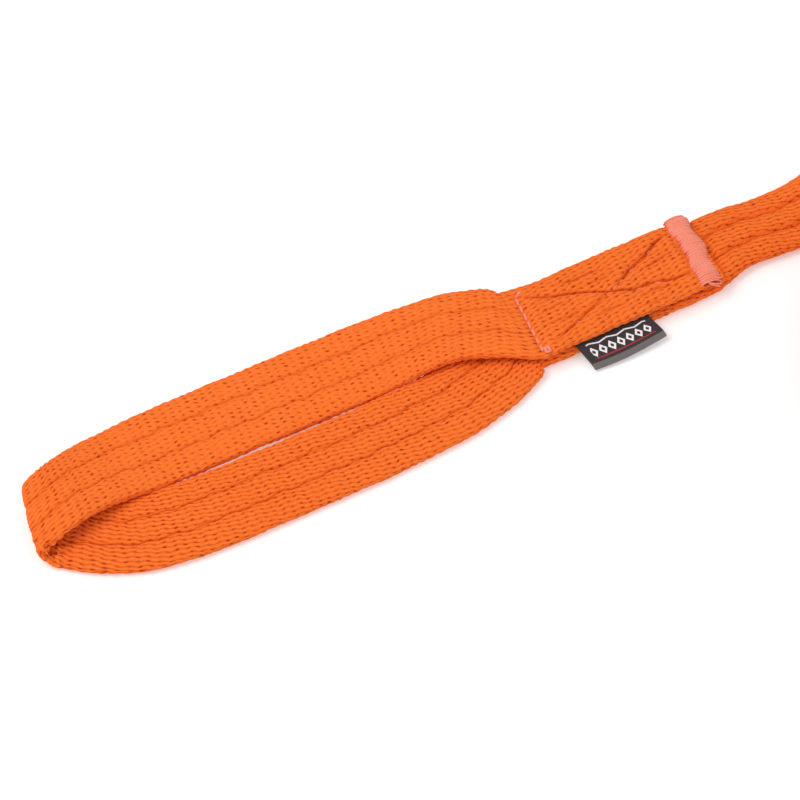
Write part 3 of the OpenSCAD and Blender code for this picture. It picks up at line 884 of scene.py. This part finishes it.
def crumple(grid):
    """Small folds where the webbing doubles over aslant at the tip, with shade painted into their creases."""
    near = np.exp(-np.sum((grid.points - np.array(CRUMPLE_AT)) ** 2, axis=-1) / CRUMPLE_REACH ** 2)
    folds = sum(strong * np.sin(grid.points @ np.array(rates)) for strong, rates in CRUMPLE_FOLDS)
    sink = (CRUMPLE_SINK + CRUMPLE_FOLD * folds) * near
    crease = np.maximum(grid.crease, CRUMPLE_DARK * near * np.clip(folds - 0.4, 0, 1))
    return grid._replace(points=grid.points - sink[..., None] * grid_normals(grid.points), crease=crease)


def press_sewing(points):
    """The top layer's upper face, pulled down along its sewing."""
    x, y, z = points[..., 0], points[..., 1], points[..., 2]
    sewn = (x > OVERLAP_START - 8) & (z > HIGH_Z)
    share = np.where(sewn, np.clip((z - HIGH_Z) / 1.5, 0, 1), 0)
    points[..., 2] = z - sewn_dip(x, y) * share
    return points


def top_surface(x, y):
    """Height of the top layer's upper face in the sewn part."""
    s = np.clip(np.abs(y - overlap_y(x)) / (FLAT_W / 2), 0, 0.995)
    height = HIGH_Z + FLAT_T / 2 * (1 - s ** (2 / FLAT_POWER)) ** (FLAT_POWER / 2)
    return float(height - sewn_dip(x, y))


root_at, tip_at, turn_at, loop_end_at = (station_length(i) for i in (0, TIP_FIRST, TIP_LAST, len(LOOP) - 1))
handle_at = even_lengths([(0, handle_long, RING_FINE)])
# How far the wales and the ribs' grooves stand out, at lengths along the handle
marks_at = [0, root_at - 6, root_at + 8, root_at + 60, tip_at, turn_at, turn_at + 60, loop_end_at, handle_long]
rope_at = np.interp(handle_at, marks_at, [0.6, 0.6, 0.4, 0.15, 0.3, 1.0, 0.75, 0.7, 0.7])
rib_at = np.interp(handle_at, marks_at, [0.15, 0.15, 0.6, 0.6, 0.7, 0.9, 0.9, 0.9, 0.5])
handle_grid = strap_grid(handle, handle_at, 200, 0.0, rope_at, rib_at)
press_sewing(handle_grid.points)
# Shade is painted along the creases of the top layer's sewn upper face, as strong as the creases are deep.
on_top = (handle_grid.points[..., 0] > OVERLAP_START) & (handle_grid.points[..., 2] > HIGH_Z + 0.3)
handle_grid.crease[on_top] = sharp_creases(handle_grid.points[..., 0], handle_grid.points[..., 1])[on_top]
handle_grid = crumple(handle_grid)
ends_at = (0, root_at, tip_at, turn_at, loop_end_at, handle_long)
cuts = [int(np.argmin(np.abs(handle_at - at))) for at in ends_at]
HANDLE_PIECES = [
    ("webbing_top_layer", "overlap_top_layer"),
    ("webbing_upper_leg", "loop_upper_leg"),
    ("webbing_tip", "loop_tip"),
    ("webbing_lower_leg", "loop_lower_leg"),
    ("webbing_bottom_layer", "overlap_bottom_layer"),
]
for (name, node), first, last in zip(HANDLE_PIECES, cuts, cuts[1:]):
    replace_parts(strap_object(name, handle_grid, first, last, knit), node)


# ---------- sewing thread ----------

THREAD_R, ROOT_THREAD_R, CROSS_THREAD_R, END_THREAD_R = 0.3, 0.5, 0.28, 0.36
THREAD_SIDES = 8
THREAD_TAPER = 0.55


def thread_object(name, paths, radius, material=None, body="root"):
    """One mesh of round threads along these paths, with length and angle as UVs."""
    points, faces, uv = [], [], []
    turns = 2 * math.pi * np.arange(THREAD_SIDES + 1) / THREAD_SIDES
    for path in paths:
        path = np.array(path, float)
        ahead = unit(np.gradient(path, axis=0))
        side = unit(np.cross(ahead, np.array([0.31, 0.17, 0.94])))
        up = np.cross(side, ahead)
        along = lengths_along(path)
        base, last = len(points), len(path) - 1
        for i, middle in enumerate(path):
            r = radius * (THREAD_TAPER if i in (0, last) else 1)
            points += [middle + r * (math.cos(turn) * side[i] + math.sin(turn) * up[i]) for turn in turns[:-1]]
        for i in range(last):
            a, b = base + i * THREAD_SIDES, base + (i + 1) * THREAD_SIDES
            for k in range(THREAD_SIDES):
                after = (k + 1) % THREAD_SIDES
                faces.append((a + k, b + k, b + after, a + after))
                uv += [(along[i], turns[k]), (along[i + 1], turns[k]),
                       (along[i + 1], turns[k + 1]), (along[i], turns[k + 1])]
        for start, order in ((base, 1), (base + last * THREAD_SIDES, -1)):
            faces.append([start + k for k in range(THREAD_SIDES)][::order])
            uv += [(0, 0)] * THREAD_SIDES
    return new_object(name, points, faces, [True] * len(faces), "thread", uv, material or thread, body)


STITCH_STEPS = 8
# The shares of the pitch at which a stitch starts and ends
STITCH_SPAN = (0.12, 0.88)
STITCH_ROUND, SATIN_ROUND = 0.5, 0.42


def arch_steps(steps, power):
    """Shares of the way over a stitch, each with how far up the stitch's arch it is."""
    return [(k / steps, math.sin(math.pi * k / steps) ** power) for k in range(steps + 1)]


def stitch_path(start, end, bury, rise):
    """One stitch over the webbing from start to end, its two ends going down into it."""
    path = []
    for share, arch in arch_steps(STITCH_STEPS, STITCH_ROUND):
        x = start[0] + (end[0] - start[0]) * share
        y = start[1] + (end[1] - start[1]) * share
        path.append((x, y, top_surface(x, y) + rise * arch - bury * (1 - arch)))
    return path


def stitch_row(route, bury, rises):
    """Stitches at about STITCH_PITCH along a route, each with its own rise above the webbing."""
    route = np.array(route)[:, :2]
    way = lengths_along(route)
    count = int(way[-1] / STITCH_PITCH)
    ends = (np.arange(count)[:, None] + STITCH_SPAN) * way[-1] / count
    x, y = (np.interp(ends, way, route[:, i]) for i in (0, 1))
    return [stitch_path((x[i, 0], y[i, 0]), (x[i, 1], y[i, 1]), bury, rises[i % len(rises)])
            for i in range(count)]


STITCH_BURY, LOOSE_STEPS = 0.5, 6
ROOT_RISES = (0.3, 0.2, 0.34, 0.24)
# A knot of loose thread at the row's near corner: how far off the corner, and how far above the webbing
ROOT_KNOT = [(0.2, 1.2, 0.2), (1.6, 0.4, 0.5), (2.2, -0.7, 0.3), (0.6, -0.6, 0.6), (1.5, 0.7, 0.7),
             (2.8, 0.2, 0.1)]
(far_x, far_y), (near_x, near_y) = ROOT_ROW
root_paths = stitch_row(ROOT_ROW, STITCH_BURY, ROOT_RISES)
knot = [(near_x + x, near_y + y, top_surface(near_x + x, near_y + y) + z) for x, y, z in ROOT_KNOT]
root_paths.append(catmull_rom(knot, LOOSE_STEPS))
root_paths.append(stitch_path((far_x + 0.2, far_y), (far_x + 2.6, far_y + 0.9), 0.4, 0.3))
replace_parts(thread_object("root_row_thread", root_paths, ROOT_THREAD_R), "root_stitches")

# Most stitches of the two crossing rows have sunk into the webbing. These, by number, stand a little higher.
SUNK = -0.55
CROSS_RISES = [{3: -0.2, 8: -0.15, 9: 0.1, 10: 0.05, 12: -0.2, 15: -0.1}, {2: -0.25, 11: -0.1, 13: 0.0}]
CROSS_COUNT = 18
cross_paths = []
for row, higher in zip(CROSS_ROWS, CROSS_RISES):
    cross_paths += stitch_row(row, STITCH_BURY, [higher.get(i, SUNK) for i in range(CROSS_COUNT)])
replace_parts(thread_object("cross_row_thread", cross_paths, CROSS_THREAD_R), "cross_stitches")

SATIN_PITCH, SATIN_STEPS, SATIN_BURY = 0.44, 14, 0.75


def satin_path(to_world, left, right, b, lean, height):
    """One thread across a bar tack from left to right, arching over the webbing and down into it."""
    path = []
    for share, arch in arch_steps(SATIN_STEPS, SATIN_ROUND):
        above = height * arch - SATIN_BURY * (1 - arch)
        path.append(to_world(left + (right - left) * share, b + lean * (share - 0.5), above))
    return path


def satin_paths(to_world, reach, half, rise, seed):
    """Threads laid side by side over a bar tack that is reach long, each across its width of 2 * half."""
    draw = np.random.default_rng(seed)
    paths = []
    for i in range(int(reach / SATIN_PITCH)):
        b = (i + 0.5) * SATIN_PITCH - reach / 2
        shift = 0.45 * math.sin(b / 3.4 + 0.4 * seed)
        left = shift - half + 0.35 * math.sin(b / 1.3 + seed) + draw.uniform(-0.28, 0.28)
        right = shift + half + 0.4 * math.sin(b / 1.9 + 1.1) + draw.uniform(-0.3, 0.3)
        lean = (0.2 if i % 2 else -0.2) + draw.uniform(-0.12, 0.12)
        height = rise * (1 + 0.22 * math.sin(b / 2.6 + 0.8) + draw.uniform(-0.1, 0.1))
        paths.append(satin_path(to_world, left, right, b, lean, height))
    return paths


def handle_tack(a, b, h):
    """A place on the handle's bar tack: a along the strap, b across it, h above the webbing."""
    lean = math.radians(TACK_LEAN)
    x = TACK_X + a * math.cos(lean) - b * math.sin(lean)
    y = overlap_y(TACK_X) + TACK_SIDE + b * math.cos(lean) + a * math.sin(lean)
    return (x, y, top_surface(TACK_X, y) + h)


TACK_RISE, TACK_SEED = 1.5, 4
# Loose loops of its thread at the near corner
TACK_LOOSE = [
    [(127.4, -10.6, 9.6), (129.4, -11.6, 9.4), (131, -11.2, 8.4), (131.6, -10, 7.6), (130.8, -9.6, 7.6)],
    [(124.6, -11, 9.4), (126.6, -12.2, 8.6), (128.8, -12.6, 7.6), (130.4, -12, 6.8), (130.8, -11, 6.4)],
    [(125.4, -11.6, 8.8), (127.4, -12.8, 7.8), (129.2, -13.2, 6.6)],
]
tack_paths = satin_paths(handle_tack, TACK_REACH, TACK_HALF, TACK_RISE, TACK_SEED)
tack_paths += [catmull_rom(loose, LOOSE_STEPS) for loose in TACK_LOOSE]
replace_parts(thread_object("handle_tack_thread", tack_paths, THREAD_R), "handle_bar_tack")


# ---------- the snap end's sewing ----------

END_ROW_X = 263.1
END_FACE_Y = -133.1
END_STITCHES = 6
END_ARCH, END_BURY = 0.55, 0.5
END_TACK_TURN, END_TACK_REACH, END_TACK_HALF, END_TACK_RISE, END_TACK_SEED = 31.5, 22, 3.8, 1.0, 9


def end_stitches():
    """A row of stitches up the inner face of the doubled end."""
    paths = []
    for i in range(END_STITCHES):
        low, high = (BAR[2] + (i - END_STITCHES / 2 + share) * STITCH_PITCH for share in STITCH_SPAN)
        paths.append([(END_ROW_X, END_FACE_Y + END_ARCH * arch - END_BURY, low + (high - low) * share)
                      for share, arch in arch_steps(STITCH_STEPS, STITCH_ROUND)])
    return paths


def end_tack(a, b, h):
    """A place on the end's bar tack: a along the bend, b up, h towards the middle of the bend."""
    r = RETURN_R - END_T / 2 - h
    angle = math.radians(-90 + END_TACK_TURN) + a / r
    return (TAIL_CENTRE[0] + r * math.cos(angle), TAIL_CENTRE[1] + r * math.sin(angle), BAR[2] + b)


end_thread = thread_object("end_row_thread", end_stitches(), END_THREAD_R)
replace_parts(end_thread, "snap_end_stitches")
end_tack_paths = satin_paths(end_tack, END_TACK_REACH, END_TACK_HALF, END_TACK_RISE, END_TACK_SEED)
end_tack_thread = thread_object("end_tack_thread", end_tack_paths, THREAD_R)
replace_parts(end_tack_thread, "snap_end_bar_tack")


# ---------- the side label ----------

LABEL_X, LABEL_T = 73.4, 0.4
LABEL_COLUMNS = 36
FOLD_R = 0.42
# The upper leaf from its sewn end to the fold, as y and z
LABEL_LINE = [
    (-8.6, 5.45), (-10.6, 5.45), (-12.4, 5.4), (-14.2, 4.85),
    (-16.2, 3.85), (-18.4, 2.75), (-20.4, 1.95), (-21.8, 1.55),
]


def label_sheet():
    """The label's middle line from its upper sewn end, round the fold and back under to its lower one."""
    top = catmull_rom(LABEL_LINE, 6)
    normal = unit(np.stack([np.gradient(top[:, 1]), -np.gradient(top[:, 0])], axis=1))
    fold_y, fold_z = LABEL_LINE[-1]
    turn = np.radians(np.arange(105, 255, 12))
    fold = np.stack([fold_y - 0.1 + FOLD_R * np.cos(turn), fold_z - FOLD_R + FOLD_R * np.sin(turn)], axis=1)
    return np.vstack([top, fold, (top - normal * 2 * FOLD_R)[::-1]])


def label_points(line, xs):
    """The sheet's upper face and then its lower one, row by row. Away from the seam the sheet skews, bows and
    lifts at its far end."""
    tangent = unit(np.gradient(line, axis=0))
    normal = np.stack([-tangent[:, 1], tangent[:, 0]], axis=1)
    y, z = line[:, :1], line[:, 1:]
    free, end = ease(-y, 11, 22), xs / LABEL_W
    bow = free * (0.7 * np.sin(np.pi * end) + 0.15 * np.sin(5 * end))
    px = LABEL_X + xs + 2.4 * free
    faces = []
    for side in (LABEL_T / 2, -LABEL_T / 2):
        py = y + normal[:, :1] * side + free * (0.7 + 0.6 * end) - bow
        pz = z + normal[:, 1:] * side + free * (0.2 + 1.5 * end)
        faces.append(np.stack([px, py, pz], axis=-1).reshape(-1, 3))
    return np.vstack(faces)


def label_faces(rows, across, marks):
    """Faces and their UVs for a closed sheet of two layers of rows by across points."""
    sheet = rows * across
    faces = []
    for i in range(rows - 1):
        for k in range(across - 1):
            a, b = i * across + k, (i + 1) * across + k
            faces += [(a, a + 1, b + 1, b), (sheet + a, sheet + b, sheet + b + 1, sheet + a + 1)]
        a, b = i * across, (i + 1) * across
        faces.append((a, b, sheet + b, sheet + a))
        a, b = a + across - 1, b + across - 1
        faces.append((a, sheet + a, sheet + b, b))
    for k in range(across - 1):
        faces.append((k, sheet + k, sheet + k + 1, k + 1))
    for a in range(sheet - across, sheet - 1):
        faces.append((a, a + 1, sheet + a + 1, sheet + a))
    return faces, [marks[corner % sheet] for face in faces for corner in face]


def label_object():
    line = label_sheet()
    way = lengths_along(line)
    xs = np.linspace(0, LABEL_W, LABEL_COLUMNS + 1)
    marks = [(x, long) for long in way for x in xs]
    faces, uv = label_faces(len(line), len(xs), marks)
    material = label_material(float(way[len(line) // 2]))
    made = new_object("folded_label", label_points(line, xs), faces, [False] * len(faces), "label", uv,
                      material, "root")
    return made, float(way[-1])


label, label_long = label_object()
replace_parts(label, "side_label")


# ---------- the snap ----------

cast_metal = metal_material("nickel_plate", colour(168, 168, 170), colour(196, 196, 197), 0.22)
turned_metal = metal_material("turned_nickel", colour(178, 178, 180), colour(206, 206, 206), 0.16)
spring_metal = metal_material("spring_wire", colour(120, 120, 124), colour(150, 150, 154), 0.3)
for node in ("swivel_eye", "snap_body", "bolt", "thumb_stud"):
    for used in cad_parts[node].material_slots:
        used.material = turned_metal if node in ("bolt", "thumb_stud") else cast_metal

# The spring lies in the bore behind the bolt, made at one fixed length.
BOLT_RISE = 7.1
SPRING_FROM, SPRING_LONG = 29.4, 13.2
SPRING_TURNS, SPRING_STEPS = 6, 20
SPRING_R, SPRING_WIRE_R = 1.9, 0.3
spring_turn = np.linspace(0, 1, SPRING_TURNS * SPRING_STEPS + 1)
spring_angle = 2 * math.pi * SPRING_TURNS * spring_turn
spring_path = np.stack([BAR[0] - SPRING_FROM - SPRING_LONG * spring_turn,
                        BAR[1] - SPRING_R * np.cos(spring_angle),
                        BAR[2] + BOLT_RISE + SPRING_R * np.sin(spring_angle)], axis=1)
spring = thread_object("bolt_spring_coil", [spring_path], SPRING_WIRE_R, spring_metal, "snap")
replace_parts(spring, "bolt_spring")
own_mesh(spring)
